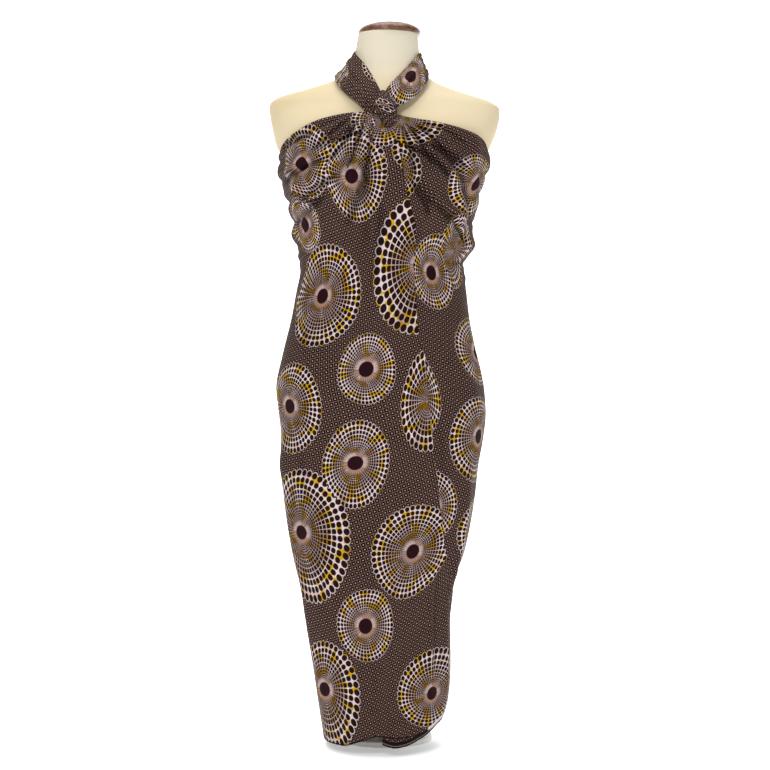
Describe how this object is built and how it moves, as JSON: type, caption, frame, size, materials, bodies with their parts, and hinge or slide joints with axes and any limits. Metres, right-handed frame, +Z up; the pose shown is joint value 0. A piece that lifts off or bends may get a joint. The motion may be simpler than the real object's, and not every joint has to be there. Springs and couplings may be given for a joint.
{
  "type": "sarong on a limbless dress form",
  "caption": "Patterned cotton sarong wrapped and twisted into a halter dress on a limbless dress form with a turned neck cap, pole and round base.",
  "frame": {"origin": "on the floor under the form's axis, on the flat underside of the base", "axes": "+Z up, the garment's front faces -Y, +X to the right of someone who looks at the front"},
  "size_m": [0.3797, 0.2891, 1.1895],
  "materials": {
    "printed_cotton": "plain-woven cotton printed brown, cream and yellow, slightly glazed",
    "form_jersey": "smooth cream jersey over a padded form",
    "turned_wood": "satin varnish",
    "painted_steel": "satin white enamel"
  },
  "bodies": {
    "root": {"sarong_back": "printed_cotton", "sarong_over_panel": "printed_cotton", "sarong_under_panel": "printed_cotton", "sarong_twist": "printed_cotton", "sarong_strap_left": "printed_cotton", "sarong_strap_right": "printed_cotton", "sarong_knot": "printed_cotton", "sarong_end_left": "printed_cotton", "sarong_end_right": "printed_cotton", "form_torso": "form_jersey", "form_cap": "turned_wood", "form_pole": "painted_steel", "form_base": "painted_steel"}
  },
  "joints": []
}
